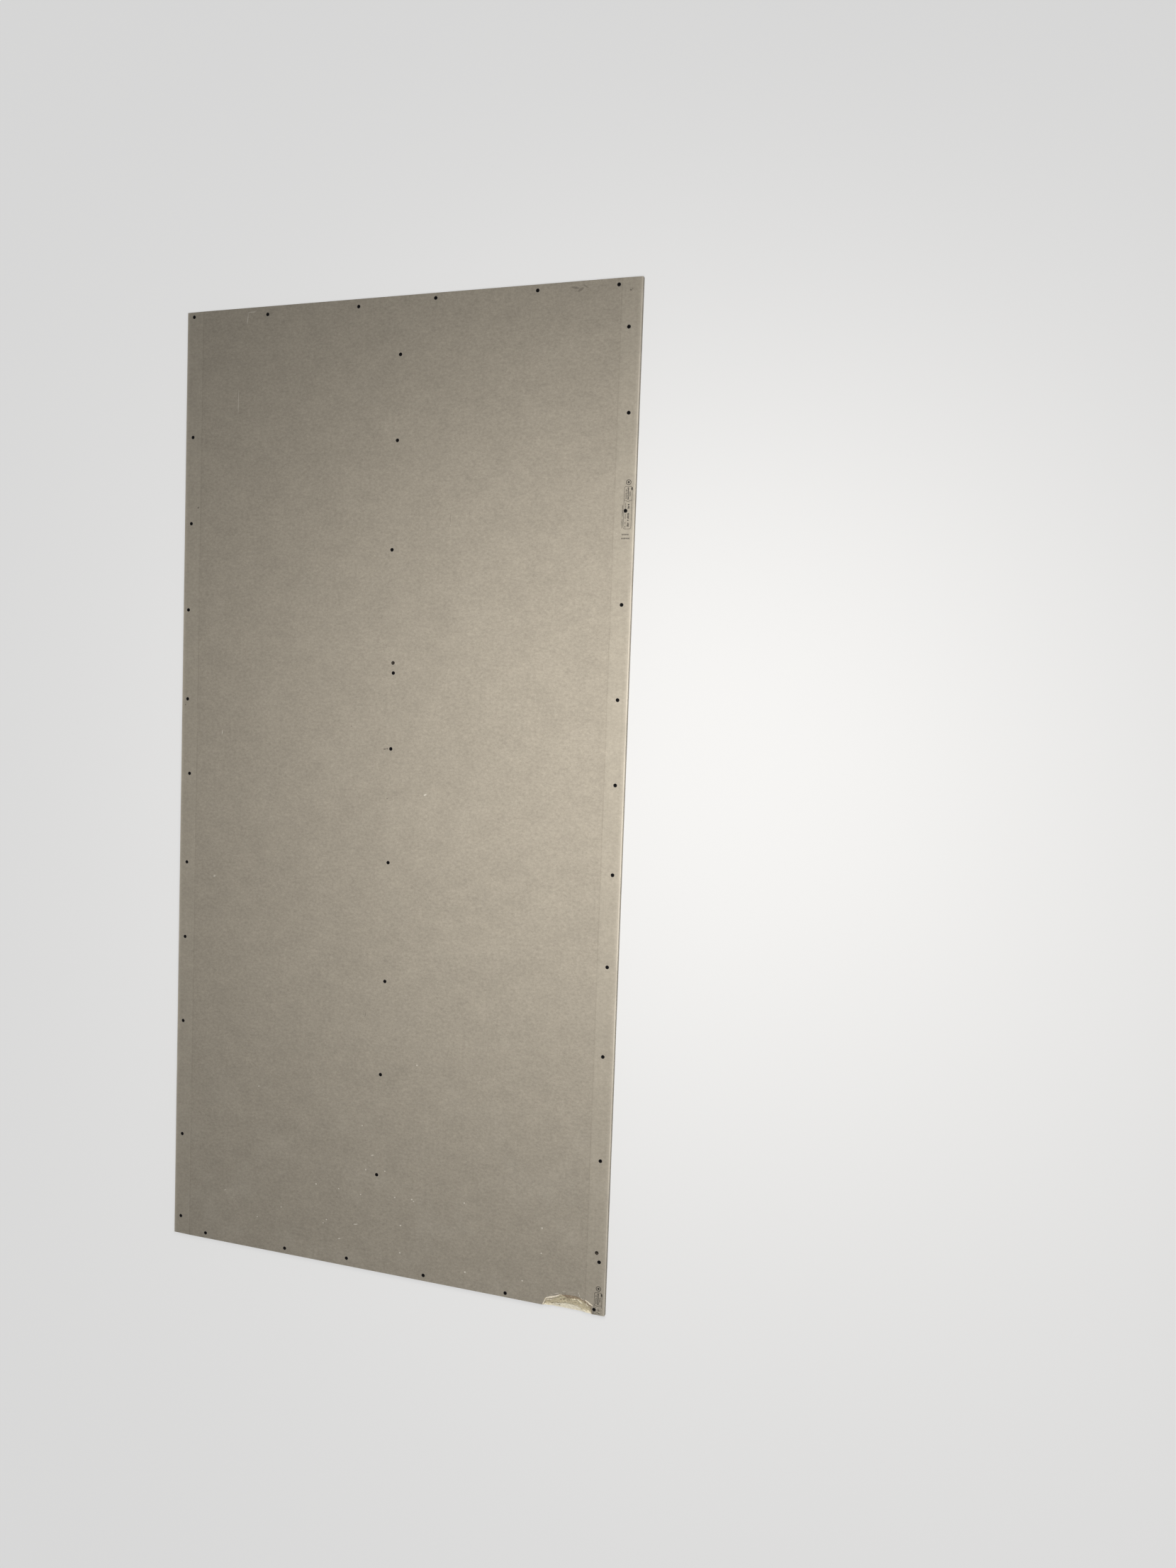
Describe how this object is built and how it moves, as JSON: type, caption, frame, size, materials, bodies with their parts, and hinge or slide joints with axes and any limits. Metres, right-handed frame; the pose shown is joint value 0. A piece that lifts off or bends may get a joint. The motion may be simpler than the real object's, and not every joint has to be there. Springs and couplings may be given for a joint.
{
  "type": "drywall sheet",
  "caption": "Full sheet of gypsum wallboard with tapered long edges, countersunk screw holes round its rim and down its middle, and one broken corner.",
  "frame": {"origin": "middle of the back face, which the sheet lies on", "axes": "+X across the sheet to its right edge, +Y along it to its top end as it stood on the wall, +Z out of the good face"},
  "size_m": [1.2, 2.4, 0.0125],
  "materials": {
    "board_paper": "matte",
    "gypsum_core": "matte",
    "phosphate_screw": "satin",
    "stamp_ink": "matte"
  },
  "bodies": {
    "root": {"drywall_sheet": "board_paper"}
  },
  "joints": []
}
